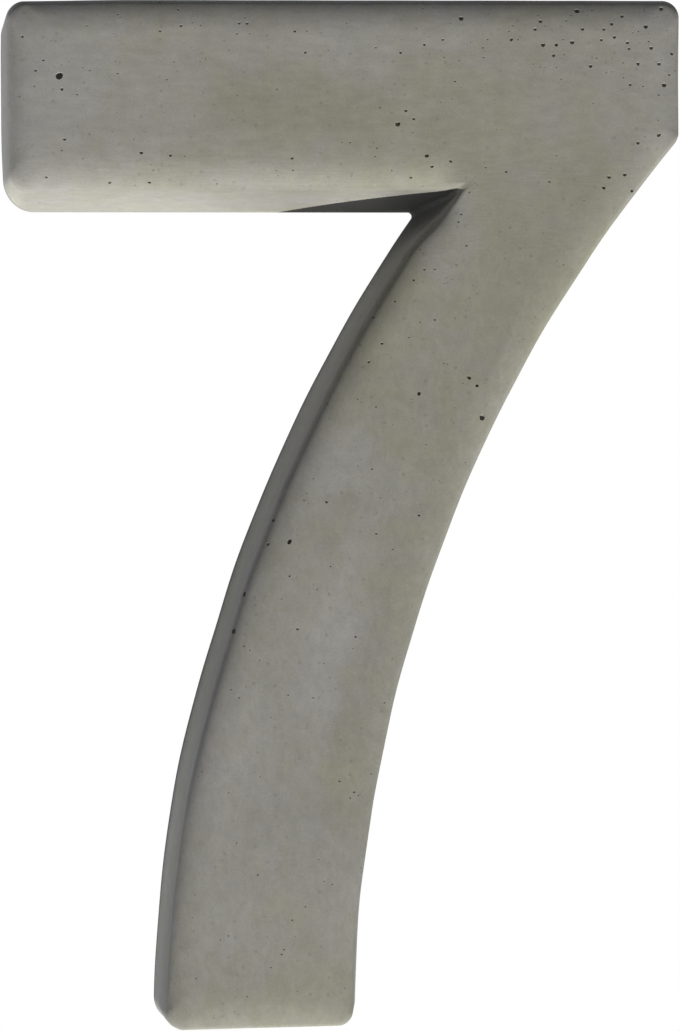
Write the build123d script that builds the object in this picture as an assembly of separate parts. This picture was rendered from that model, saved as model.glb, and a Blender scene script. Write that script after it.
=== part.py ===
from build123d import *

import os

# A concrete house number: the numeral 7, cast in one piece.
# Millimetres, +Z up. The front faces -Y and the flat back lies on the wall plane, Y = 0.
# The origin is on the wall plane and the baseline, at the middle of the foot.

# Outline at the back, where the drafted sides are widest
HEIGHT = 200.0
WIDTH = 132.5
BAR_HEIGHT = 40.4
END_HEIGHT = 27.4
FOOT_WIDTH = 40.0
FOOT_INSET = 30.2
LEG_ROOT_INSET = 81.8
LEG_INNER_RADIUS = 288.5
LEG_OUTER_RADIUS = 272.0

# Section through the casting
THICKNESS = 27.0
DRAFT_ANGLE = 5.3
FRONT_EDGE_RADIUS = 4.5

# Corners of the outline
CORNER_RADIUS = 5.3
END_CORNER_RADIUS = 4.5
INNER_CORNER_RADIUS = 1.5

# Two blind holes in the back, one above the other, for studs set in the wall
HOLE_DIAMETER = 7.0
HOLE_DEPTH = 15.0
HOLE_SPACING = 140.0

# Places worked out from the sizes above, in X and Z on the wall plane
foot_left = -FOOT_WIDTH / 2
foot_right = FOOT_WIDTH / 2
bar_left = foot_left - FOOT_INSET
bar_right = bar_left + WIDTH
bar_underside = HEIGHT - BAR_HEIGHT
upper_hole_height = HEIGHT - BAR_HEIGHT / 2

top_left = (bar_left, HEIGHT)
top_right = (bar_right, HEIGHT)
end_corner = (bar_right, HEIGHT - END_HEIGHT)
foot_right_corner = (foot_right, 0)
foot_left_corner = (foot_left, 0)
inner_corner = (bar_left + LEG_ROOT_INSET, bar_underside)
bar_left_corner = (bar_left, bar_underside)


def corner_of(face, corner):
    """The vertex of a flat outline that lies at a corner."""
    return face.vertices().sort_by_distance(corner)[0]


def outline():
    """The numeral's outline with its corners rounded: a straight bar, and a leg between two arcs."""
    bar = Polyline(inner_corner, bar_left_corner, top_left, top_right, end_corner)
    leg_outer_side = RadiusArc(end_corner, foot_right_corner, -LEG_OUTER_RADIUS)
    foot = Line(foot_right_corner, foot_left_corner)
    leg_inner_side = RadiusArc(foot_left_corner, inner_corner, LEG_INNER_RADIUS)
    face = make_face([*bar.edges(), leg_outer_side.edge(), foot.edge(), leg_inner_side.edge()])
    for corner in (top_left, top_right, foot_right_corner, foot_left_corner, bar_left_corner):
        face = fillet(corner_of(face, corner), CORNER_RADIUS)
    face = fillet(corner_of(face, end_corner), END_CORNER_RADIUS)
    return fillet(corner_of(face, inner_corner), INNER_CORNER_RADIUS)


def numeral():
    """Draft the outline's sides forward, soften the front edge and sink the stud holes in the back."""
    block = extrude(Plane.XZ * outline(), amount=THICKNESS)
    sides = block.faces() - block.faces().filter_by(Axis.Y)
    body = draft(sides, neutral_plane=Plane.XZ, angle=DRAFT_ANGLE)
    front = body.faces().sort_by(Axis.Y)[0]
    body = fillet(front.edges(), FRONT_EDGE_RADIUS)
    for height in (upper_hole_height, upper_hole_height - HOLE_SPACING):
        mouth = Plane(origin=(0, 0, height), z_dir=(0, -1, 0))
        body -= mouth * extrude(Circle(HOLE_DIAMETER / 2), amount=HOLE_DEPTH)
    return body


os.makedirs("parts", exist_ok=True)
export_step(numeral(), "parts/numeral.step")
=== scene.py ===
import math

import bpy
import numpy as np
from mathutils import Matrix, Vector
from mathutils.bvhtree import BVHTree
from mathutils.geometry import tessellate_polygon


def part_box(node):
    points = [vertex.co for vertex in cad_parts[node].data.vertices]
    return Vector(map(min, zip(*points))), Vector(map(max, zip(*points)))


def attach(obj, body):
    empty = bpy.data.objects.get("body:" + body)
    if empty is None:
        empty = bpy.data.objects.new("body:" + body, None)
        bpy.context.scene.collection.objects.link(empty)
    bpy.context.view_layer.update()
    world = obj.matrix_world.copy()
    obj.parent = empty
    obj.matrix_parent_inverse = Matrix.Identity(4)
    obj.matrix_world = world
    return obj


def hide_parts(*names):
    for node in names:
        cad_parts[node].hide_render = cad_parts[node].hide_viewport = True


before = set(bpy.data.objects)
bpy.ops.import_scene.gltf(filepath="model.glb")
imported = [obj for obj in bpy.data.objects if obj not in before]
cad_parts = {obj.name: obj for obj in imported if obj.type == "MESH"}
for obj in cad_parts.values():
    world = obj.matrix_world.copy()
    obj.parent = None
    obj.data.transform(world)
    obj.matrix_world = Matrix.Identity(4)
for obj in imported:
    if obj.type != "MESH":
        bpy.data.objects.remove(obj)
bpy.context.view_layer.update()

# A house number cast in concrete, the numeral 7, with drafted flanks, a soft front edge and small air pits.
# Lengths are millimetres and become metres when a mesh is made. +X is the reader's right, +Z is up, and the
# front faces -Y from the wall plane, Y = 0.
MM = 0.001
node_low, node_high = (np.array(corner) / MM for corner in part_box("numeral"))

# Outline on the wall plane
LEFT = node_low[0]
RIGHT = node_high[0]
TOP = node_high[2]
THICKNESS = -node_low[1]
BAR_HEIGHT = 40.4
END_HEIGHT = 27.4
FOOT_WIDTH = 40.0
LEG_ROOT_INSET = 81.8
LEG_INNER_RADIUS = 288.5
LEG_OUTER_RADIUS = 272.0
UNDERSIDE = TOP - BAR_HEIGHT

# Section: a small arris at the back, a leaning flank, a lip and a long soft slope up to the flat front
DRAFT = math.tan(math.radians(5.3))
ARRIS = 0.5
SLOPE_POWER = 3.2
RIM_INSET = 11.2
LIP_INSETS = (2.0, 5.0)

# Draft angle, lip radius, and steepness of the slope at the lip, for each side in the order of the outline:
# underside, left end, top, right end, start of the leg's outer side, rest of it, foot, leg's inner side
DRAFT_ANGLES = np.radians((5.3, 5.7, 5.3, 5.3, 5.3, 5.3, 5.3, 6.2))
LIPS = (2.3, 4.2, 1.7, 1.8, 0.8, 1.6, 1.5, 3.6)
SLOPES = (0.55, 0.55, 0.46, 0.35, 0.33, 0.42, 0.55, 0.5)

# The leg's outer side leans less: how much less than the others it is drawn in, at its start and further
# down, the share of it over which this changes, and how much narrower the foot is for that
OUTER_LAGS = (1.05, 0.42)
OUTER_LAG_REACH = 0.33
FOOT_TRIM = 0.2

# Its inner side leans more near the inner corner: how much more it is drawn in there, and over which share
# of its length
INNER_FLARE = 1.7
INNER_FLARE_REACH = 0.1

# Near the inner corner the edge turns crisp: draft angle, lip radius and slope there, how far inside the
# outline that is centred, and how far along the bar and the leg it reaches
CRISP_SECTION = (math.radians(5.8), 1.0, 0.0)
CRISP_INSET = 3.2
CRISP_ON_BAR = 6.0
CRISP_ON_LEG = 10.0

# Corner radii of the outline at the back, at the start and end of the lip and where the face turns flat.
# The corners are in the order of the outline: inner, low left, high left, high right, end of the bar, foot
# right, foot left
CORNER_RADII = (
    (0.8, 0.6, 0.6, 3.0),
    (6.2, 3.4, 3.6, 4.0),
    (5.3, 3.2, 3.5, 4.0),
    (5.3, 3.2, 3.6, 5.0),
    (3.0, 2.2, 2.2, 2.5),
    (3.2, 2.6, 3.2, 5.0),
    (5.2, 3.4, 3.5, 3.5),
)

# Steps of the surface grid along the outline. The fan is the part of the outer side that faces the inner
# corner
CORNER_STEPS = 12
END_CORNER_STEPS = 8
UNDERSIDE_STEPS = 54
LEG_STEPS = 114
TOP_FAN_STEPS = 14
RIGHT_STEPS = 10
LEG_FAN_STEPS = 12
CAP_STEPS = 20
FAN_STEPS = TOP_FAN_STEPS + CORNER_STEPS + RIGHT_STEPS + END_CORNER_STEPS + LEG_FAN_STEPS
LEG_FAN_SHARE = 0.22

# Steps of the grid over the section, and how much they crowd at the start of the lip
ARRIS_STEPS = 3
FLANK_STEPS = 20
LIP_STEPS = 24
LIP_CROWDING = 1.3
SLOPE_STEPS = 12

# The foot's lower edge climbs a little to the right, and this dies out up the leg
FOOT_SLANT = 0.027
FOOT_SLANT_REACH = 30.0

# The bar's left end is bowed and leans, and its top droops a little there: how much, and how far in that
# reaches
END_BOW = 0.45
END_LEAN = 0.5
END_BOW_REACH = 15.0
TOP_DROOP = 0.4
TOP_DROOP_REACH = 25.0

# The leg's inner side bulges a little low down: how much, at which height, and how far in and how far up or
# down that reaches
LEG_BULGE = 0.5
LEG_BULGE_HEIGHT = 46.0
LEG_BULGE_REACH = (20.0, 34.0)

# Slow unevenness of the cast faces: height of the waves and their lengths along X, Y and Z
WAVE_HEIGHT = 0.06
WAVE_LENGTHS = ((31.0, 47.0, 23.0), (19.0, 29.0, 53.0), (67.0, 37.0, 41.0))

# Blind stud holes in the back, and how far their cutter stands out of it
HOLE_RADIUS = 3.5
HOLE_DEPTH = 15.0
HOLE_OVERSHOOT = 1.0
HOLE_SPACING = 140.0
HOLE_STEPS = 48
UPPER_HOLE = TOP - BAR_HEIGHT / 2

# Air pits seen on the front: place across and up the face, and width of the mouth. First the bold ones,
# then the smaller ones on the bar and on the leg
BOLD_PITS = (
    (-37.5, 183.0, 1.6), (38.5, 194.0, 0.9), (54.0, 189.0, 0.8), (56.5, 189.0, 0.8),
    (59.5, 189.5, 0.8), (60.5, 195.5, 0.9), (73.5, 192.5, 0.8), (77.0, 181.5, 0.9),
    (26.5, 174.0, 1.05), (32.0, 168.0, 0.9), (76.0, 172.0, 0.8), (40.0, 126.0, 0.75),
    (41.5, 124.5, 0.75), (30.5, 123.0, 0.8), (42.5, 118.5, 1.05), (3.0, 99.0, 0.8),
    (6.0, 95.0, 1.05), (-2.5, 85.0, 1.05), (-4.5, 78.0, 1.05),
)
PITS_ON_BAR = (
    (-37.0, 180.5, 0.68), (-40.5, 186.0, 0.52), (-42.0, 184.0, 0.52), (-44.5, 190.5, 0.52),
    (-18.5, 191.5, 0.52), (-14.5, 192.5, 0.6), (-3.5, 193.0, 0.52), (-2.0, 193.0, 0.6),
    (7.0, 191.5, 0.52), (9.0, 187.5, 0.52), (-22.0, 168.5, 0.68), (-16.5, 168.0, 0.6),
    (-20.5, 163.0, 0.6), (-36.5, 171.0, 0.6), (6.5, 167.5, 0.6), (27.0, 187.5, 0.6),
    (31.5, 189.0, 0.52), (35.0, 190.0, 0.52), (48.0, 190.0, 0.7), (53.5, 193.5, 0.7),
    (74.5, 188.5, 0.75), (63.0, 185.0, 0.75), (70.5, 181.5, 0.7), (28.0, 176.5, 0.6),
    (29.5, 175.0, 0.6), (33.0, 166.0, 0.6), (29.0, 164.0, 0.6), (69.5, 164.5, 0.75),
    (66.5, 164.0, 0.75), (71.0, 161.5, 0.75), (67.0, 193.0, 0.7), (76.5, 196.0, 0.8),
    (56.0, 187.0, 0.6), (67.5, 190.5, 0.6), (65.0, 190.0, 0.6), (70.0, 189.5, 0.6),
    (78.5, 187.5, 0.7), (72.0, 185.5, 0.75), (76.0, 185.5, 0.65), (78.0, 183.5, 0.6),
    (61.5, 192.0, 0.6), (65.5, 192.0, 0.6), (52.5, 192.0, 0.6), (69.0, 194.5, 0.6),
    (72.0, 170.5, 0.65), (65.5, 162.0, 0.7), (36.5, 167.0, 0.65), (47.0, 165.0, 0.55),
    (-28.0, 163.0, 0.7), (-40.0, 164.0, 0.6),
)
PITS_ON_LEG = (
    (38.5, 157.0, 0.49), (38.0, 155.5, 0.41), (39.5, 151.0, 0.44), (29.5, 144.5, 0.54),
    (31.5, 146.5, 0.41), (33.5, 146.5, 0.37), (26.0, 140.5, 0.49), (22.0, 137.5, 0.49),
    (33.5, 137.0, 0.49), (23.5, 132.5, 0.57), (21.0, 129.0, 0.49), (13.0, 102.5, 0.57),
    (30.5, 100.0, 0.49), (2.0, 94.5, 0.57), (6.0, 88.5, 0.41), (7.5, 78.5, 0.49),
    (-1.5, 74.5, 0.31), (18.5, 77.0, 0.49), (12.5, 72.0, 0.29), (-5.0, 67.0, 0.31),
    (-3.5, 65.5, 0.31), (10.5, 65.5, 0.35), (24.0, 64.5, 0.31), (-11.0, 55.5, 0.31),
    (-10.5, 51.5, 0.31), (17.5, 46.5, 0.35), (19.0, 47.0, 0.31), (-4.0, 38.0, 0.29),
    (0.0, 32.0, 0.39), (9.0, 26.0, 0.29), (6.5, 23.5, 0.37), (-5.5, 20.5, 0.29),
    (4.5, 17.0, 0.37), (-5.5, 16.5, 0.29), (2.5, 14.5, 0.31), (-2.0, 9.0, 0.29),
)

# Fine pits scattered at random: how many on each face, and the middle, spread and limits of their widths
FRONT_PITS = 370
FLANK_PITS = 110
BACK_PITS = 150
FINE_PIT_WIDTH = 0.26
FINE_PIT_SPREAD = 0.28
FINE_PIT_LIMITS = (0.18, 0.55)

# How the fine pits of the front gather: more above a height, still more to the right of a place there, and
# fewer below another height
CROWD_FROM = (10.0, 180.0)
CROWD_REACH = (40.0, 12.0)
CROWD_AT_RIGHT = 3
SPARSE_FROM = 80.0
SPARSE_REACH = 30.0
SPARSE_SHARE = 0.6

# Which faces take fine pits: limits of the normal's share along Y, the least depth on a flank, and the room
# round a stud hole
FRONT_FACING = -0.5
FLANK_FACING = 0.3
BACK_FACING = 0.9
FLANK_FROM = 2.0
HOLE_ROOM = 2 * HOLE_RADIUS

# Shape of a pit: rows and columns of its bubble, how far the bubble's middle lies under the surface as a
# share of its radius, how uneven it is, and how much deeper than wide
PIT_LATITUDES = 6
PIT_LONGITUDES = 8
BOLD_SINK = 0.1
PIT_SINK = -0.1
FINE_SINK = -0.3
PIT_LUMP = 0.22
PIT_DEPTH = 1.25

# Two pits lie at least this many times their widths together apart. Edges sharper than the angle stay sharp
PIT_CLEARANCE = 1.0
PIT_SEED = 7
SHARP_RIM_ANGLE = math.radians(32)

# Lines of sight start at this place along Y, in metres. A normal with a larger share of Z than the second
# value gets its side axis from X, and any other from Z
SIGHT_FROM = -1.0
STEEP_NORMAL = 0.8

# Picture taking: the frame's height and the focal length in pixels, and the eye's place before the wall
PHOTO_HEIGHT = 1031
FOCAL_PIXELS = 3318.0
SENSOR_WIDTH = 36.0
EYE_X = -15.7
EYE_Z = 99.95
EYE_DISTANCE = 654.0
LENS_SHIFT = 0.12
TURN_TO_RIGHT = math.radians(0.718)

# Light, as multiples of the level at which a colour renders as it is written
KEY_LEVEL = 1.7
KEY_FROM = (0.08, -0.46, -0.885)
KEY_ANGLE = math.radians(0.4)
FRONT_LEVEL = 0.2
OVERHEAD_SHARE = 0.4
FRONT_TINT = (0.92, 0.95, 1.15, 1.0)
BACK_LEVEL = 0.95
OVERHEAD_RANGE = (0.1, 0.9)
BACK_RANGE = (-0.02, 0.02)
BACKDROP_REACH = 900.0
BACKDROP_GAP = 0.1
BACKDROP_COLOUR = (0.86, 0.88, 0.97, 1.0)


def srgb(red, green, blue):
    """Linear colour of three screen values from 0 to 255."""
    share = np.array([red, green, blue]) / 255
    linear = np.where(share <= 0.04045, share / 12.92, ((share + 0.055) / 1.055) ** 2.4)
    return (*linear.tolist(), 1.0)


# Concrete colours, as they show on a screen, and how far a pit's colour goes towards brown, for dirt held in
# the pits and painted shade
COOL_GREY = srgb(142, 140, 133)
OLIVE_GREY = srgb(138, 136, 119)
PIT_BROWN = srgb(70, 66, 56)
PIT_SHADE = 0.12

# Surface: sheen, and height and strength of the grain
SHEEN = 0.1
GRAIN_HEIGHT = 0.03
GRAIN_STRENGTH = 0.6

# Noises: size of the lumps, detail and roughness
CLOUDS = (26.0, 3.0, 0.55)
MOTTLE = (3.0, 3.0, 0.6)
GRAIN = (0.45, 2.0, 0.6)
STREAKS = (1.3, 2.0, 0.6)
TINT_CLOUDS = (18.0, 3.0, 0.5)
TINT_MOTTLE = (4.0, 3.0, 0.5)

# How a noise between two values moves the tone, the share of olive or the roughness: those two values, and
# what they become
CLOUD_TONES = (0.3, 0.7, 0.97, 1.03)
MOTTLE_TONES = (0.25, 0.75, 0.95, 1.05)
STREAK_TONES = (0.25, 0.75, 0.955, 1.045)
GRAIN_TONES = (0.2, 0.8, 0.95, 1.05)
CLOUD_TINTS = (0.3, 0.7, 0.12, 0.6)
MOTTLE_TINTS = (0.25, 0.75, -0.18, 0.18)
ROUGHNESSES = (0.2, 0.8, 0.78, 0.92)

# What is painted wanders: size and detail of the lumps that move it, and how far
WANDER_SIZE = 9.0
WANDER_DETAIL = 2.0
WANDER_REACH = 9.0

# Streaks run along the leg below and along the bar above: the heights between which they change, with the
# bar's share there, and how much they are drawn out along X, Y and Z
STREAKS_TURN = (148.0, 168.0, 0.0, 1.0)
BAR_STREAKS = (0.3, 1.0, 1.0)
LEG_STREAKS = (1.0, 1.0, 0.35)

# Masks along Y, the leg's mask along Z, and painted shading along Y on the flanks, more on the leg's flank:
# darker near the lip, paler towards the back. Each: two places, and the values there
FACE_MASK = (-26.0, -22.5, 1.0, 0.0)
LIP_MASK = (-20.0, -14.0, 1.0, 0.0)
FLANK_MASK = (-3.0, -1.0, 1.0, 0.0)
LEG_MASK = (138.0, 156.0, 1.0, 0.0)
FLANK_SHADING = (-24.0, -3.0, -0.02, 0.04)
LEG_SHADING = (-24.0, -4.0, -0.09, 0.28)

# Faint specks: spacing, where they are full and where they end as shares of that, and how much paler or
# darker they are, between two values of their kind
SPECK_SPACING = 2.0
SPECK_FADE = (0.06, 0.24, 1.0, 0.0)
SPECK_TONES = (0.3, 0.7, 0.06, -0.16)

# A spot's outline fades out at this multiple of its half width, and its middle is full from this share
SPOT_REACH = 1.4
SPOT_FADE = (0.0, 0.7, 0.0, 1.0)
SPOT_DEPTH = 1000.0

# Spots: place, half width and height, lean in degrees, and how much paler and more olive. First cloudy
# patches on the face, then painted light and shade on its rims, painted shade on the lip under the bar,
# then painted light and shade on the flanks
PATCHES = (
    (42.0, 150.0, 32.0, 42.0, 25.0, -0.03, 0.5),
    (5.0, 176.0, 18.0, 9.0, 0.0, -0.07, 0.4),
    (-30.0, 178.0, 20.0, 12.0, 0.0, 0.01, -0.3),
    (26.0, 72.0, 9.0, 38.0, 16.0, -0.07, 0.3),
    (11.0, 101.0, 10.0, 24.0, 24.0, -0.06, 0.0),
    (14.0, 76.0, 5.0, 20.0, 16.0, 0.05, -0.4),
    (15.5, 112.0, 5.0, 10.0, 20.0, 0.05, -0.3),
    (-3.5, 59.0, 9.0, 10.0, 12.0, 0.03, -0.2),
    (-5.5, 32.5, 8.0, 14.0, 6.0, 0.02, -0.2),
    (1.5, 43.0, 6.0, 5.0, 0.0, -0.05, 0.0),
    (15.5, 50.5, 4.0, 3.5, 0.0, 0.08, 0.5),
    (37.0, 154.0, 5.0, 10.0, 18.0, 0.03, -0.6),
    (2.0, 5.0, 24.0, 9.0, 0.0, 0.0, 0.45),
    (0.0, 17.0, 24.0, 14.0, 0.0, 0.04, 0.0),
    (66.0, 182.0, 16.0, 14.0, 0.0, 0.0, -0.25),
)
# Painted light and shade on the face's rims: darker along the left end's lip, the right end and the foot's
# lower edge, and paler along the bar's lower slope
RIM_PAINTED_LIGHT_AND_SHADE = (
    (-50.0, 180.0, 3.2, 60.0, 0.0, -0.2, 0.0),
    (-50.0, 180.0, 7.0, 60.0, 0.0, -0.1, 0.0),
    (82.0, 185.0, 4.5, 40.0, 0.0, -0.1, 0.0),
    (0.0, -1.0, 60.0, 8.0, 0.0, -0.12, 0.0),
    (-5.0, 169.8, 46.0, 2.8, 0.0, 0.05, 0.0),
)
# Painted shade along the lip under the bar, darkest near the inner corner: it tones down the bright line
# that the light from below draws there
LIP_PAINTED_SHADE = (
    (-12.0, 162.2, 50.0, 0.55, 0.0, -0.08, 0.0),
    (0.0, 162.2, 20.0, 0.55, 0.0, -0.05, 0.0),
    (28.0, 162.3, 12.0, 0.6, 0.0, -0.06, 0.0),
    (37.5, 162.6, 4.0, 0.8, 0.0, -0.1, 0.0),
)
# Painted light and shade on the flanks: the left end's flank paler, the underside's flank darker towards the
# leg and most near the inner corner, the flank low at the bar's end darker, and the leg's flank paler
FLANK_PAINTED_LIGHT_AND_SHADE = (
    (-52.0, 180.0, 6.0, 60.0, 0.0, 1.0, 0.0),
    (-10.0, 160.0, 50.0, 6.0, 0.0, -0.06, 0.0),
    (-6.0, 160.0, 16.0, 6.0, 0.0, -0.03, 0.0),
    (1.0, 160.0, 12.0, 6.0, 0.0, -0.11, 0.0),
    (74.0, 163.0, 16.0, 14.0, 0.0, -0.16, 0.0),
    (20.0, 160.0, 20.0, 6.0, 0.0, -0.12, 0.0),
    (32.0, 160.5, 8.0, 6.0, 0.0, -0.22, 0.0),
    (-20.0, 10.0, 40.0, 50.0, 0.0, 0.18, 0.0),
    (5.0, 85.0, 60.0, 80.0, 0.0, 0.2, 0.0),
)


def centre_right_of(upper, lower, radius):
    """Centre of the circle of a radius through two points: on the chord's bisector, to its right."""
    along = (lower - upper) / np.linalg.norm(lower - upper)
    half = np.linalg.norm(lower - upper) / 2
    return (upper + lower) / 2 + np.array([-along[1], along[0]]) * math.sqrt(radius ** 2 - half ** 2)


INNER_CORNER = np.array([LEFT + LEG_ROOT_INSET, UNDERSIDE])
FOOT_LEFT = np.array([-FOOT_WIDTH / 2, 0.0])
INNER_CENTRE = centre_right_of(INNER_CORNER, FOOT_LEFT, LEG_INNER_RADIUS)
END_LOW = np.array([RIGHT, TOP - END_HEIGHT])
FOOT_RIGHT = np.array([FOOT_WIDTH / 2 - FOOT_TRIM, 0.0])
OUTER_CENTRE = centre_right_of(END_LOW, FOOT_RIGHT, LEG_OUTER_RADIUS)


def inner_side_x(inset, height):
    """X of the leg's inner side at a height, when the side is drawn in: its circle shrinks by the inset."""
    return INNER_CENTRE[0] - np.sqrt((LEG_INNER_RADIUS - inset) ** 2 - (height - INNER_CENTRE[1]) ** 2)


def outer_side_x(inset, height):
    """X of the leg's outer side at a height, when the side is drawn in: its circle grows by the inset."""
    return OUTER_CENTRE[0] - np.sqrt((LEG_OUTER_RADIUS + inset) ** 2 - (height - OUTER_CENTRE[1]) ** 2)


def outer_side_z(inset, x):
    """Height of the leg's outer side at an x, when the side is drawn in."""
    return OUTER_CENTRE[1] + np.sqrt((LEG_OUTER_RADIUS + inset) ** 2 - (x - OUTER_CENTRE[0]) ** 2)


def heading(start, end):
    """Angle of the line from one point to another, row by row."""
    way = end - start
    return np.arctan2(way[..., 1], way[..., 0])


def arc(centre, radius, start, end, shares):
    """Points on arcs, a row per circle: centre plus radius along an angle, from start to end by shares."""
    angle = start[:, None] + (end - start)[:, None] * shares
    reach = radius.reshape(len(radius), -1, 1)
    return centre[:, None] + reach * np.stack([np.cos(angle), np.sin(angle)], axis=-1)


def straight(start, end, shares):
    """Points on straight runs, one row per run, between start and end by shares."""
    return start[:, None] + (end - start)[:, None] * shares[:, None]


def even(steps):
    """Shares of a run in even steps, without its end."""
    return np.arange(steps) / steps


def two_paces(steps, later_steps, share):
    """Shares of a run whose first part, up to a share, has some steps and the rest others."""
    return np.concatenate([share * even(steps), share + (1 - share) * even(later_steps)])


def outer_inset(inset, share):
    """Inset of the leg's outer side at a share of its length: it lags behind the others from the lip on."""
    return inset - np.clip(inset / LIP_INSETS[0], 0, 1) * np.interp(share, (0, OUTER_LAG_REACH), OUTER_LAGS)


def inner_inset(inset, share):
    """Inset of the leg's inner side at a share of its length, from the foot: more near the corner."""
    near = np.clip((share - 1 + INNER_FLARE_REACH) / INNER_FLARE_REACH, 0, 1)
    return inset + np.clip(inset / LIP_INSETS[0], 0, 1) * INNER_FLARE * near ** 2 * (3 - 2 * near)


def outlines(inset):
    """Rounded outlines of the numeral: a closed row of points for each inset, clockwise from the front.

    A straight side moves inwards by the inset. The leg's inner arc shrinks and its outer arc grows, each by
    an inset of its own. A convex corner of radius r is an arc about the point that lies inset + r inside
    both its sides, and the concave inner corner an arc about the point that lies inset - r inside them. The
    rows start at the inner corner.
    """
    radii = [np.interp(inset, (0, *LIP_INSETS, RIM_INSET), corner) for corner in CORNER_RADII]
    deep = [inset - radii[0], *[inset + radius for radius in radii[1:]]]
    places = (
        (inner_side_x(inner_inset(inset, 1) - radii[0], UNDERSIDE + deep[0]), UNDERSIDE + deep[0]),
        (LEFT + deep[1], UNDERSIDE + deep[1]),
        (LEFT + deep[2], TOP - deep[2]),
        (RIGHT - deep[3], TOP - deep[3]),
        (RIGHT - deep[4], outer_side_z(outer_inset(inset, 0) + radii[4], RIGHT - deep[4])),
        (outer_side_x(outer_inset(inset, 1) + radii[5], deep[5]), deep[5]),
        (inner_side_x(deep[6], deep[6]), deep[6]),
    )
    centres = [np.stack(place, axis=1) for place in places]
    root, low_left, high_left, high_right, end, foot_right, foot_left = centres

    level = np.zeros_like(inset)
    up, right, down, left = level + math.pi / 2, level, level - math.pi / 2, level + math.pi
    low = down + 2 * math.pi
    around = even(CORNER_STEPS)
    corners = (
        arc(root, radii[0], heading(root, INNER_CENTRE), up, even(FAN_STEPS)),
        arc(low_left, radii[1], low, left, around),
        arc(high_left, radii[2], left, up, around),
        arc(high_right, radii[3], up, right, around),
        arc(end, radii[4], right, heading(end, OUTER_CENTRE), even(END_CORNER_STEPS)),
        arc(foot_right, radii[5], heading(foot_right, OUTER_CENTRE), down, around),
        arc(foot_left, radii[6], low, heading(INNER_CENTRE, foot_left), around),
    )
    upward = [radius[:, None] * np.array([0.0, 1.0]) for radius in radii]
    across = [radius[:, None] * np.array([1.0, 0.0]) for radius in radii]
    along_top = two_paces(UNDERSIDE_STEPS, TOP_FAN_STEPS, LEG_ROOT_INSET / (RIGHT - LEFT))
    down_leg = two_paces(LEG_FAN_STEPS, LEG_STEPS, LEG_FAN_SHARE)
    up_leg = even(LEG_STEPS)
    sides = (
        straight(root + upward[0], low_left - upward[1], even(UNDERSIDE_STEPS)),
        straight(low_left - across[1], high_left - across[2], even(CAP_STEPS)),
        straight(high_left + upward[2], high_right + upward[3], along_top),
        straight(high_right + across[3], end + across[4], even(RIGHT_STEPS)),
        arc(
            level[:, None] + OUTER_CENTRE, LEG_OUTER_RADIUS + outer_inset(inset[:, None], down_leg),
            heading(OUTER_CENTRE, end), heading(OUTER_CENTRE, foot_right), down_leg,
        ),
        straight(foot_right - upward[5], foot_left - upward[6], even(CAP_STEPS)),
        arc(
            level[:, None] + INNER_CENTRE, LEG_INNER_RADIUS - inner_inset(inset[:, None], up_leg),
            heading(INNER_CENTRE, foot_left), heading(INNER_CENTRE, root), up_leg,
        ),
    )
    return np.concatenate([run for pair in zip(corners, sides) for run in pair], axis=1)


def along_outline(sides):
    """A value at each point of an outline: even along a side, and blended from side to side at a corner.

    The leg's outer side starts with a value of its own, which blends into that of the rest.
    """
    bar_steps = (UNDERSIDE_STEPS, CAP_STEPS, UNDERSIDE_STEPS + TOP_FAN_STEPS, RIGHT_STEPS)
    side_steps = (*bar_steps, 0, LEG_STEPS, CAP_STEPS, LEG_STEPS)
    corner_steps = (FAN_STEPS, *[CORNER_STEPS] * 3, END_CORNER_STEPS, LEG_FAN_STEPS, *[CORNER_STEPS] * 2)
    runs = []
    for before, side, turning, along in zip((sides[-1], *sides), sides, corner_steps, side_steps):
        runs += [before + (side - before) * even(turning), np.full(along, side)]
    return np.concatenate(runs)


def softness(rows):
    """How soft the edge is at each place: 1, but falling smoothly to 0 towards the inner corner.

    The distance is counted along the bar, to the left of the corner, or along the leg, down from it, each
    over its own reach, and the larger share counts. Past the corner both are below 0.
    """
    reach = INNER_CORNER - INNER_CENTRE
    along_leg = np.array([reach[1], -reach[0]]) / np.linalg.norm(reach)
    opening = heading(np.zeros(2), along_leg)
    tip = INNER_CORNER + CRISP_INSET * np.array([1 / math.tan(opening / 2), 1.0])
    tip[0] += INNER_FLARE / math.sin(opening)
    away = tip - rows
    share = np.maximum(away[..., 0] / CRISP_ON_BAR, away @ along_leg / CRISP_ON_LEG)
    share = np.clip(share, 0, 1)
    share[:, FAN_STEPS + UNDERSIDE_STEPS:-LEG_STEPS] = 1
    return share ** 2 * (3 - 2 * share)


def front_depth(inset, draft, lip, slope):
    """Depth of the surface at an inset, for a draft angle d, a lip radius and a slope.

    On the flank the depth is the inset over tan d. The lip is an arc that turns the normal forward from d
    to an angle a, that of the slope, and adds lip * (cos d - cos a) to the inset and lip * (sin a - sin d)
    to the depth. On the slope, with u falling from 1 to 0 at the rim, the front lies rise * u ^ SLOPE_POWER
    below its flat, where the rise makes it start with the given slope.
    """
    lean = np.tan(draft)
    lip_end = math.pi / 2 - np.arctan(slope)
    lip_width = lip * (np.cos(draft) - np.cos(lip_end))
    lip_rise = lip * (np.sin(lip_end) - np.sin(draft))
    share = slope / SLOPE_POWER
    lip_depth = (THICKNESS - lip_rise - share * (RIM_INSET - lip_width)) / (1 - share * lean)
    lip_inset = lip_depth * lean
    slope_width = RIM_INSET - lip_inset - lip_width
    turned = np.clip(np.cos(draft) - (inset - lip_inset) / lip, np.cos(lip_end), 1)
    on_lip = lip_depth + lip * (np.sqrt(1 - turned ** 2) - np.sin(draft))
    u = np.clip((RIM_INSET - inset) / slope_width, 0, 1)
    on_slope = THICKNESS - share * slope_width * u ** SLOPE_POWER
    past_flank = np.where(inset < lip_inset + lip_width, on_lip, on_slope)
    return np.where(inset < lip_inset, inset / lean, past_flank)


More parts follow.
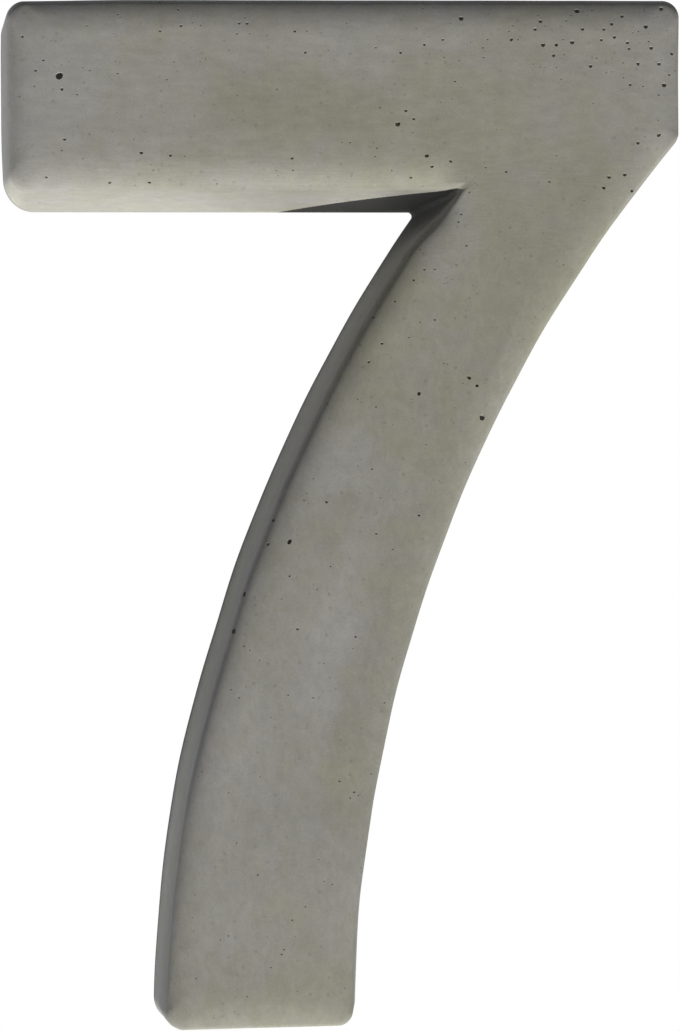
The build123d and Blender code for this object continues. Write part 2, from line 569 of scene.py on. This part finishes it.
def insets():
    """Insets of the nested outlines: over the back's arris, a quarter circle, the flank, lip and slope."""
    a = np.pi / 2 * even(ARRIS_STEPS)
    lip_start, lip_end = LIP_INSETS
    return np.concatenate(
        [
            ARRIS * DRAFT + ARRIS * (1 - np.sin(a)),
            ARRIS * DRAFT + (lip_start - ARRIS * DRAFT) * even(FLANK_STEPS),
            lip_start + (lip_end - lip_start) * even(LIP_STEPS) ** LIP_CROWDING,
            np.linspace(lip_end, RIM_INSET, SLOPE_STEPS + 1),
        ]
    )


def depths(inset, rows):
    """Depth of each point of the nested outlines: the arris's quarter circle, then its side's section."""
    soft = softness(rows)
    by_side = [along_outline(sides) for sides in (DRAFT_ANGLES, LIPS, SLOPES)]
    section = [crisp + (value - crisp) * soft for crisp, value in zip(CRISP_SECTION, by_side)]
    depth = front_depth(inset[:, None], *section)
    depth[:ARRIS_STEPS] = ARRIS * (1 - np.cos(np.pi / 2 * even(ARRIS_STEPS)))[:, None]
    return depth


def core_index(ring, first_new):
    """Index grid of a face inside a ring: its rim is the ring's points and the rest are new points.

    Rows run along the stroke from the left end to the foot, and columns across it from the inner side.
    """
    half = CORNER_STEPS // 2
    count = len(ring)
    from_low_left = FAN_STEPS + UNDERSIDE_STEPS + half
    cap = CAP_STEPS + CORNER_STEPS
    stroke = LEG_STEPS + FAN_STEPS + UNDERSIDE_STEPS + CORNER_STEPS
    left_rim = from_low_left + np.arange(cap + 1)
    outer_rim = left_rim[-1] + np.arange(stroke + 1)
    foot_rim = outer_rim[-1] + np.arange(cap + 1)
    inner_rim = from_low_left - np.arange(stroke + 1)
    index = np.empty((stroke + 1, cap + 1), dtype=int)
    index[1:-1, 1:-1] = first_new + np.arange((stroke - 1) * (cap - 1)).reshape(stroke - 1, cap - 1)
    index[:, 0] = ring[inner_rim % count]
    index[:, -1] = ring[outer_rim % count]
    index[0, :] = ring[left_rim % count]
    index[-1, :] = ring[foot_rim[::-1] % count]
    return index


def core_points(index, points):
    """Inside points of a face, blended from its rims: the long rims, plus the ends, less the corners."""
    rim = points[np.minimum(index, len(points) - 1)]
    u = np.linspace(0, 1, index.shape[0])[:, None, None]
    v = np.linspace(0, 1, index.shape[1])[None, :, None]
    inner, outer = rim[:, :1], rim[:, -1:]
    first, last = rim[:1], rim[-1:]
    first_corners = (1 - v) * rim[0, 0] + v * rim[0, -1]
    last_corners = (1 - v) * rim[-1, 0] + v * rim[-1, -1]
    corners = (1 - u) * first_corners + u * last_corners
    blend = (1 - v) * inner + v * outer + (1 - u) * first + u * last - corners
    return blend[1:-1, 1:-1].reshape(-1, 3)


def quads(index):
    """Four-sided faces between the neighbours of an index grid."""
    corners = [index[:-1, :-1], index[1:, :-1], index[1:, 1:], index[:-1, 1:]]
    return np.stack(corners, axis=-1).reshape(-1, 4)


def unevenness(points):
    """A slow drift of each point: along each axis, the mean of three products of sines of the place."""
    drift = np.zeros_like(points)
    for turn, lengths in enumerate(WAVE_LENGTHS):
        phase = 2 * np.pi * points / np.array(lengths) + turn
        drift += np.sin(phase) * np.cos(np.roll(phase, 1, axis=1))
    return WAVE_HEIGHT * drift


def cast_drift(points):
    """How far the casting's unevenness and quirks move each point.

    The slow drift along Y dies out towards the back. The foot's lower edge climbs by FOOT_SLANT times the
    distance from its left end, less so higher up. At a share h of the bar's height its left end moves in by
    END_BOW * (2 h - 1)^2 + END_LEAN * (1 - h) and its top down by TOP_DROOP * h, both less so further in.
    The leg's inner side moves out by LEG_BULGE * b^2, less so further in, where b falls from 1 at
    LEG_BULGE_HEIGHT with the square of the distance up or down.
    """
    drift = unevenness(points)
    x, y, z = points.T
    drift[:, 1] *= np.clip(-y / THICKNESS, 0, 1)
    low = np.clip(1 - z / FOOT_SLANT_REACH, 0, 1)
    drift[:, 2] += FOOT_SLANT * low * np.clip(x + FOOT_WIDTH / 2, 0, FOOT_WIDTH)
    high = np.clip((z - UNDERSIDE) / BAR_HEIGHT, 0, 1)
    near_end = np.clip(1 - (x - LEFT) / END_BOW_REACH, 0, 1)
    drift[:, 0] += near_end * (END_BOW * (2 * high - 1) ** 2 + END_LEAN * (1 - high))
    near_droop = np.clip(1 - (x - LEFT) / TOP_DROOP_REACH, 0, 1)
    drift[:, 2] -= TOP_DROOP * near_droop * high
    near_side = np.clip(1 - (x - inner_side_x(0, z)) / LEG_BULGE_REACH[0], 0, 1)
    near_height = np.clip(1 - ((z - LEG_BULGE_HEIGHT) / LEG_BULGE_REACH[1]) ** 2, 0, 1)
    drift[:, 0] -= LEG_BULGE * near_side * near_height ** 2
    return drift


def casting():
    """Points and faces of the closed casting: its section carried round the outline, and two flat faces."""
    inset = insets()
    rows = outlines(inset)
    levels, count = rows.shape[:2]
    points = np.stack([rows[..., 0], -depths(inset, rows), rows[..., 1]], axis=-1).reshape(-1, 3)
    ring = np.arange(levels * count).reshape(levels, count)
    front = core_index(ring[-1], len(points))
    points = np.concatenate([points, core_points(front, points)])
    back = core_index(ring[0], len(points))
    points = np.concatenate([points, core_points(back, points)])
    wall = quads(np.concatenate([ring, ring[:, :1]], axis=1))
    faces = np.concatenate([wall, quads(front), quads(back)[:, ::-1]])
    return np.clip(points + cast_drift(points), node_low, node_high), faces


def mesh_of(name, points, faces, pore=0.0):
    """A mesh from points in millimetres and faces, each marked with a number: 1 in a pit, 0 elsewhere."""
    mesh = bpy.data.meshes.new(name)
    mesh.from_pydata((points * MM).tolist(), [], [face.tolist() for face in faces])
    share = mesh.attributes.new("pore", "FLOAT", "FACE")
    share.data.foreach_set("value", np.full(len(mesh.polygons), pore, dtype=np.float32))
    return mesh


def piece_of(name, mesh):
    """An object for a mesh, linked to the scene."""
    piece = bpy.data.objects.new(name, mesh)
    bpy.context.scene.collection.objects.link(piece)
    return piece


def bubble():
    """Unit ball on a grid of latitudes and longitudes, with a pole at each end: its points and faces."""
    latitude = np.pi * np.arange(1, PIT_LATITUDES) / PIT_LATITUDES
    longitude = 2 * np.pi * np.arange(PIT_LONGITUDES) / PIT_LONGITUDES
    belt = np.stack(
        [
            np.outer(np.sin(latitude), np.cos(longitude)),
            np.outer(np.sin(latitude), np.sin(longitude)),
            np.outer(np.cos(latitude), np.ones(PIT_LONGITUDES)),
        ],
        axis=-1,
    )
    points = np.concatenate([[[0, 0, 1]], belt.reshape(-1, 3), [[0, 0, -1]]])
    index = 1 + np.arange(belt.shape[0] * PIT_LONGITUDES).reshape(belt.shape[0], PIT_LONGITUDES)
    index = np.concatenate([index, index[:, :1]], axis=1)
    last = len(points) - 1
    upper = [(0, a, b) for a, b in zip(index[0, :-1], index[0, 1:])]
    lower = [(last, b, a) for a, b in zip(index[-1, :-1], index[-1, 1:])]
    return points, [*upper, *quads(index), *lower]


def pit_cutter(places, normals, widths, sinks, random):
    """One mesh of closed bubbles, each set in the surface so that its mouth has the wanted width.

    A bubble of radius r, drawn out to PIT_DEPTH * r inwards, whose centre lies sink times that under the
    surface, opens to a mouth of radius r * sqrt(1 - sink^2). Each is stretched a little along its own
    turned axes, so no two are alike.
    """
    points, faces = bubble()
    count = len(places)
    radii = widths / 2 / np.sqrt(1 - sinks ** 2)
    helper = np.where(np.abs(normals[:, 2:]) > STEEP_NORMAL, [[1.0, 0.0, 0.0]], [[0.0, 0.0, 1.0]])
    side = np.cross(normals, helper)
    side /= np.linalg.norm(side, axis=1, keepdims=True)
    other = np.cross(normals, side)
    turn = random.uniform(0, 2 * np.pi, (count, 1))
    turned_side = np.cos(turn) * side + np.sin(turn) * other
    turned_other = np.cos(turn) * other - np.sin(turn) * side
    axes = np.stack([turned_side, turned_other, normals], axis=1)
    stretch = 1 + PIT_LUMP * random.uniform(-1, 1, (count, 1, 3))
    local = points[None] * np.array([1, 1, PIT_DEPTH]) * stretch * radii[:, None, None]
    centres = places - normals * (PIT_DEPTH * sinks * radii)[:, None]
    placed = np.einsum("nvk,nkd->nvd", local, axes) + centres[:, None]
    starts = np.arange(count) * len(points)
    every = [np.array(face) + start for start in starts for face in faces]
    return mesh_of("pit_cutter", placed.reshape(-1, 3), every, pore=1.0)


def face_samples(body, count, chosen, random):
    """Random places and normals on the chosen faces of a mesh, evenly by area."""
    polygons = body.data.polygons
    area = np.empty(len(polygons))
    centre = np.empty((len(polygons), 3))
    normal = np.empty((len(polygons), 3))
    polygons.foreach_get("area", area)
    polygons.foreach_get("center", centre.ravel())
    polygons.foreach_get("normal", normal.ravel())
    weight = area * chosen(centre / MM, normal)
    pick = random.choice(len(polygons), size=count, replace=False, p=weight / weight.sum())
    return centre[pick] / MM, normal[pick]


def on_front(centre, normal):
    """Faces of the front and its soft edge, with more weight high on the bar, above all at its right."""
    high = np.clip((centre[:, 2] - CROWD_FROM[1]) / CROWD_REACH[1], 0, 1)
    far_right = np.clip((centre[:, 0] - CROWD_FROM[0]) / CROWD_REACH[0], 0, 1)
    low = np.clip((SPARSE_FROM - centre[:, 2]) / SPARSE_REACH, 0, 1)
    weight = 1 + high + CROWD_AT_RIGHT * high * far_right - SPARSE_SHARE * low
    return (normal[:, 1] < FRONT_FACING) * weight


def on_flank(centre, normal):
    """Faces of the flanks."""
    return (np.abs(normal[:, 1]) < FLANK_FACING) & (-centre[:, 1] > FLANK_FROM)


def on_back(centre, normal):
    """Faces of the back, clear of the stud holes."""
    above = np.abs(centre[:, 2] - UPPER_HOLE)
    below = np.abs(centre[:, 2] - UPPER_HOLE + HOLE_SPACING)
    clear = (np.abs(centre[:, 0]) > HOLE_ROOM) | (np.minimum(above, below) > HOLE_ROOM)
    return (normal[:, 1] > BACK_FACING) & clear


def seen_places(body, marks):
    """Where straight lines of sight from the front meet the casting, for places across and up the face."""
    tree = BVHTree.FromObject(body, bpy.context.evaluated_depsgraph_get())
    starts = [Vector((x * MM, SIGHT_FROM, z * MM)) for x, z, width in marks]
    hits = [tree.ray_cast(start, Vector((0, 1, 0))) for start in starts]
    places = np.array([hit[0] for hit in hits]) / MM
    normals = np.array([hit[1] for hit in hits])
    return places, normals, np.array([mark[2] for mark in marks])


def all_pits(body, random):
    """Places, normals, widths and sinks of every pit: the seen ones first, and none touches another."""
    seen = ((BOLD_PITS, BOLD_SINK), (PITS_ON_BAR + PITS_ON_LEG, PIT_SINK))
    groups = [(*seen_places(body, marks), sink) for marks, sink in seen]
    for count, chosen in ((FRONT_PITS, on_front), (FLANK_PITS, on_flank), (BACK_PITS, on_back)):
        places, normals = face_samples(body, count, chosen, random)
        widths = FINE_PIT_WIDTH * np.exp(random.normal(0, FINE_PIT_SPREAD, count))
        groups.append((places, normals, np.clip(widths, *FINE_PIT_LIMITS), FINE_SINK))
    places, normals, widths = (np.concatenate([group[k] for group in groups]) for k in range(3))
    sinks = np.concatenate([np.full(len(group[0]), group[3]) for group in groups])
    apart = np.linalg.norm(places[:, None] - places[None], axis=-1)
    reach = PIT_CLEARANCE * (widths[:, None] + widths[None])
    free = ~np.any(np.tril(apart < reach, -1), axis=1)
    return places[free], normals[free], widths[free], sinks[free]


def hole_cutter():
    """Two closed cylinders for the stud holes: circles carried from a hole's floor to outside the back."""
    angle = 2 * np.pi * np.arange(HOLE_STEPS) / HOLE_STEPS
    circle = HOLE_RADIUS * np.stack([np.cos(angle), np.zeros(HOLE_STEPS), np.sin(angle)], axis=1)
    ends = np.array([[0, -HOLE_DEPTH, 0], [0, HOLE_OVERSHOOT, 0]])
    tube = circle[None] + ends[:, None]
    heights = np.array([[0, 0, UPPER_HOLE], [0, 0, UPPER_HOLE - HOLE_SPACING]])
    points = (heights[:, None, None] + tube[None]).reshape(-1, 3)
    index = np.arange(2 * HOLE_STEPS).reshape(2, HOLE_STEPS)
    wall = quads(np.concatenate([index, index[:, :1]], axis=1))
    faces = [*wall, index[0], index[1, ::-1]]
    every = [np.array(face) + start for start in (0, 2 * HOLE_STEPS) for face in faces]
    return mesh_of("hole_cutter", points, every)


def cut_away(body, cutter_mesh):
    """Take a cutter's volume out of a body and keep the result as the body's own mesh."""
    cutter = piece_of(cutter_mesh.name, cutter_mesh)
    modifier = body.modifiers.new("cut", "BOOLEAN")
    modifier.operation = "DIFFERENCE"
    modifier.solver = "MANIFOLD"
    modifier.object = cutter
    shown = body.evaluated_get(bpy.context.evaluated_depsgraph_get())
    result = bpy.data.meshes.new_from_object(shown)
    body.modifiers.clear()
    body.data = result
    bpy.data.objects.remove(cutter)


def node(tree, kind, inputs=None, output=0, **settings):
    """Add a node, set its options, link or set its inputs, and return one of its outputs."""
    made = tree.nodes.new(kind)
    for key, value in settings.items():
        setattr(made, key, value)
    for key, value in (inputs or {}).items():
        if isinstance(value, bpy.types.NodeSocket):
            tree.links.new(value, made.inputs[key])
        else:
            made.inputs[key].default_value = value
    return made.outputs[output]


def calc(tree, operation, first, second):
    """A sum or other operation on two numbers."""
    return node(tree, "ShaderNodeMath", {0: first, 1: second}, operation=operation)


def move(tree, operation, first, second):
    """A sum or other operation on two vectors."""
    return node(tree, "ShaderNodeVectorMath", {0: first, 1: second}, operation=operation)


def scale(tree, vector, factor):
    """A vector times a number."""
    return node(tree, "ShaderNodeVectorMath", {0: vector, "Scale": factor}, operation="SCALE")


def spread(tree, value, low, high, to_low, to_high):
    """A value between two limits carried smoothly over to two others."""
    inputs = {0: value, 1: low, 2: high, 3: to_low, 4: to_high}
    return node(tree, "ShaderNodeMapRange", inputs, interpolation_type="SMOOTHSTEP")


def noise(tree, place, size, detail, roughness):
    """Cloudy noise from 0 to 1, with lumps of about a size in millimetres."""
    inputs = {"Vector": place, "Scale": 1 / size, "Detail": detail, "Roughness": roughness}
    return node(tree, "ShaderNodeTexNoise", inputs)


def blend_colours(tree, share, first, second, way="MIX"):
    """Two colours mixed by a share."""
    return node(tree, "ShaderNodeMix", {0: share, 6: first, 7: second}, 2, data_type="RGBA", blend_type=way)


def spot_at(tree, place, x, z, half_width, half_height, lean):
    """A soft-edged spot on the face, 1 in its middle and 0 outside, leaning by an angle."""
    inputs = {
        "Vector": place,
        "Location": (x, 0, z),
        "Rotation": (0, math.radians(lean), 0),
        "Scale": (SPOT_REACH * half_width, SPOT_DEPTH, SPOT_REACH * half_height),
    }
    local = node(tree, "ShaderNodeMapping", inputs, vector_type="TEXTURE")
    cone = node(tree, "ShaderNodeTexGradient", {0: local}, 1, gradient_type="SPHERICAL")
    return spread(tree, cone, *SPOT_FADE)


def add_spots(tree, tone, tint, place, mask, spots):
    """The tone and the share of olive with a table of spots added, within a mask."""
    for x, z, half_width, half_height, lean, paler, more_olive in spots:
        spot = spot_at(tree, place, x, z, half_width, half_height, lean)
        spot = calc(tree, "MULTIPLY", spot, mask)
        tone = calc(tree, "ADD", tone, calc(tree, "MULTIPLY", spot, paler))
        tint = calc(tree, "ADD", tint, calc(tree, "MULTIPLY", spot, more_olive))
    return tone, tint


def wandering(tree, place):
    """A place moved about by cloudy noise."""
    inputs = {"Vector": place, "Scale": 1 / WANDER_SIZE, "Detail": WANDER_DETAIL}
    way = node(tree, "ShaderNodeTexNoise", inputs, 1)
    way = move(tree, "SUBTRACT", way, (0.5, 0.5, 0.5))
    return move(tree, "ADD", place, scale(tree, way, WANDER_REACH))


def streak_noise(tree, place, loose, height):
    """Noise drawn out along the bar above, and along the leg below."""
    along_bar = move(tree, "MULTIPLY", place, BAR_STREAKS)
    along_leg = move(tree, "MULTIPLY", loose, LEG_STREAKS)
    on_bar = spread(tree, height, *STREAKS_TURN)
    drawn_out = node(tree, "ShaderNodeMix", {0: on_bar, 4: along_leg, 5: along_bar}, 1, data_type="VECTOR")
    return noise(tree, drawn_out, *STREAKS)


def faint_specks(tree, place):
    """Small round spots, one in each cell of a loose grid, from paler to darker."""
    cells = node(tree, "ShaderNodeTexVoronoi", {"Vector": place, "Scale": 1 / SPECK_SPACING}).node
    kind = node(tree, "ShaderNodeSeparateColor", {0: cells.outputs["Color"]})
    speck = spread(tree, cells.outputs["Distance"], *SPECK_FADE)
    return calc(tree, "MULTIPLY", speck, spread(tree, kind, *SPECK_TONES))


def cast_concrete():
    """Fair-faced grey concrete: cool and olive clouds, mottling, streaks, specks, grain, pits darkened by
    dirt and painted shade, and painted light and shade on the rims, the lip under the bar and the flanks.
    """
    material = bpy.data.materials.new("cast_concrete")
    material.use_nodes = True
    tree = material.node_tree
    shader = tree.nodes["Principled BSDF"]
    place = scale(tree, node(tree, "ShaderNodeTexCoord", output=3), 1 / MM)
    parts = node(tree, "ShaderNodeSeparateXYZ", {0: place}).node
    depth = parts.outputs[1]
    height = parts.outputs[2]
    loose = wandering(tree, place)
    mottle = noise(tree, place, *MOTTLE)
    grain = noise(tree, place, *GRAIN)

    face = spread(tree, depth, *FACE_MASK)
    lip = spread(tree, depth, *LIP_MASK)
    flank = calc(tree, "SUBTRACT", 1.0, face)
    flank = calc(tree, "MULTIPLY", flank, spread(tree, depth, *FLANK_MASK))
    on_leg = spread(tree, height, *LEG_MASK)

    tint = spread(tree, noise(tree, loose, *TINT_CLOUDS), *CLOUD_TINTS)
    tint = calc(tree, "ADD", tint, spread(tree, noise(tree, loose, *TINT_MOTTLE), *MOTTLE_TINTS))
    tone = spread(tree, noise(tree, place, *CLOUDS), *CLOUD_TONES)
    # Painted shading of the flanks, more on the leg's: darker near the lip, paler towards the back
    shading = spread(tree, depth, *FLANK_SHADING)
    tone = calc(tree, "ADD", tone, calc(tree, "MULTIPLY", shading, flank))
    shading = calc(tree, "MULTIPLY", spread(tree, depth, *LEG_SHADING), on_leg)
    tone = calc(tree, "ADD", tone, calc(tree, "MULTIPLY", shading, flank))
    tone, tint = add_spots(tree, tone, tint, loose, face, PATCHES)
    # Painted light and shade on the rims and the flanks, and painted shade on the lip under the bar
    tone, tint = add_spots(tree, tone, tint, place, face, RIM_PAINTED_LIGHT_AND_SHADE)
    tone, tint = add_spots(tree, tone, tint, place, lip, LIP_PAINTED_SHADE)
    tone, tint = add_spots(tree, tone, tint, place, flank, FLANK_PAINTED_LIGHT_AND_SHADE)
    tone = calc(tree, "ADD", tone, faint_specks(tree, place))
    tone = calc(tree, "MULTIPLY", tone, spread(tree, mottle, *MOTTLE_TONES))
    streaks = streak_noise(tree, place, loose, height)
    tone = calc(tree, "MULTIPLY", tone, spread(tree, streaks, *STREAK_TONES))
    tone = calc(tree, "MULTIPLY", tone, spread(tree, grain, *GRAIN_TONES))

    tint = node(tree, "ShaderNodeClamp", {0: tint})
    colour = blend_colours(tree, tint, COOL_GREY, OLIVE_GREY)
    colour = blend_colours(tree, 1.0, colour, tone, "MULTIPLY")
    # Pits go towards brown: dirt held in them and painted shade
    pore = node(tree, "ShaderNodeAttribute", output=2, attribute_name="pore")
    colour = blend_colours(tree, calc(tree, "MULTIPLY", pore, PIT_SHADE), colour, PIT_BROWN)
    tree.links.new(colour, shader.inputs["Base Color"])
    tree.links.new(spread(tree, mottle, *ROUGHNESSES), shader.inputs["Roughness"])
    shader.inputs["Specular IOR Level"].default_value = SHEEN
    bumps = calc(tree, "MULTIPLY", grain, GRAIN_HEIGHT)
    bump = node(tree, "ShaderNodeBump", {"Strength": GRAIN_STRENGTH, "Distance": MM, "Height": bumps})
    tree.links.new(bump, shader.inputs["Normal"])
    return material


def concrete_numeral():
    """The whole casting with its pits and stud holes."""
    random = np.random.default_rng(PIT_SEED)
    piece = piece_of("concrete_numeral", mesh_of("concrete_numeral", *casting()))
    pits = pit_cutter(*all_pits(piece, random), random)
    cut_away(piece, hole_cutter())
    cut_away(piece, pits)
    piece.data.shade_smooth()
    piece.data.set_sharp_from_angle(angle=SHARP_RIM_ANGLE)
    piece.data.materials.clear()
    piece.data.materials.append(cast_concrete())
    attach(piece, "root")
    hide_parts("numeral")


def seen_share(tree):
    """1 for rays from the camera, a mirror or glass, and 0 for the rays that light things."""
    path = node(tree, "ShaderNodeLightPath").node
    direct = calc(tree, "MAXIMUM", path.outputs["Is Camera Ray"], path.outputs["Is Glossy Ray"])
    return calc(tree, "MAXIMUM", direct, path.outputs["Is Transmission Ray"])


def studio_world():
    """White where it is seen. As light, dim before the wall, dimmer overhead, and plain for the back."""
    world = bpy.data.worlds.new("studio")
    bpy.context.scene.world = world
    world.use_nodes = True
    tree = world.node_tree
    tree.nodes.clear()
    direction = node(tree, "ShaderNodeTexCoord")
    parts = node(tree, "ShaderNodeSeparateXYZ", {0: direction}).node
    front = spread(tree, parts.outputs[2], *OVERHEAD_RANGE, FRONT_LEVEL, FRONT_LEVEL * OVERHEAD_SHARE)
    level = spread(tree, parts.outputs[1], *BACK_RANGE, front, BACK_LEVEL)
    light = node(tree, "ShaderNodeBackground", {"Color": FRONT_TINT, "Strength": level})
    seen = node(tree, "ShaderNodeBackground", {"Color": (1.0, 1.0, 1.0, 1.0), "Strength": 1.0})
    shown = node(tree, "ShaderNodeMixShader", {0: seen_share(tree), 1: light, 2: seen})
    out = tree.nodes.new("ShaderNodeOutputWorld")
    tree.links.new(shown, out.inputs[0])


def sun(name, level, towards, angle):
    """A far lamp whose light arrives from a direction, at a multiple of the plain level."""
    lamp = bpy.data.objects.new(name, bpy.data.lights.new(name, "SUN"))
    bpy.context.scene.collection.objects.link(lamp)
    lamp.data.energy = math.pi * level
    lamp.data.angle = angle
    lamp.rotation_mode = "QUATERNION"
    lamp.rotation_quaternion = Vector(towards).to_track_quat("Z", "Y")


def pale_backdrop():
    """A pale sheet flush with the back, open behind the number: unseen, it bounces light and takes shade."""
    hole = outlines(np.zeros(1))[0]
    rim = BACKDROP_REACH * np.array([[-1, -1], [1, -1], [1, 1], [-1, 1]])
    flat = np.concatenate([rim, hole])
    points = np.stack([flat[:, 0], np.full(len(flat), BACKDROP_GAP), flat[:, 1]], axis=1)
    loops = [[Vector((x, z, 0)) for x, z in loop] for loop in (rim, hole)]
    sheet = piece_of("backdrop", mesh_of("backdrop", points, np.array(tessellate_polygon(loops))))
    material = bpy.data.materials.new("pale_sheet")
    material.use_nodes = True
    tree = material.node_tree
    tree.nodes.clear()
    matte = node(tree, "ShaderNodeBsdfDiffuse", {"Color": BACKDROP_COLOUR})
    out = tree.nodes.new("ShaderNodeOutputMaterial")
    tree.links.new(matte, out.inputs[0])
    sheet.data.materials.append(material)
    sheet.visible_camera = False
    sheet.visible_glossy = False
    sheet.visible_transmission = False


def photo_camera():
    """A long lens before the number, left of its middle, turned and shifted to frame it."""
    camera = bpy.data.objects.new("camera", bpy.data.cameras.new("camera"))
    bpy.context.scene.collection.objects.link(camera)
    camera.data.sensor_width = SENSOR_WIDTH
    camera.data.lens = SENSOR_WIDTH * FOCAL_PIXELS / PHOTO_HEIGHT
    camera.data.shift_x = LENS_SHIFT
    camera.location = (EYE_X * MM, -EYE_DISTANCE * MM, EYE_Z * MM)
    camera.rotation_euler = (math.pi / 2, 0, -TURN_TO_RIGHT)
    bpy.context.scene.camera = camera


concrete_numeral()
pale_backdrop()
studio_world()
sun("key", KEY_LEVEL, KEY_FROM, KEY_ANGLE)
photo_camera()
bpy.context.scene.view_settings.view_transform = "Standard"
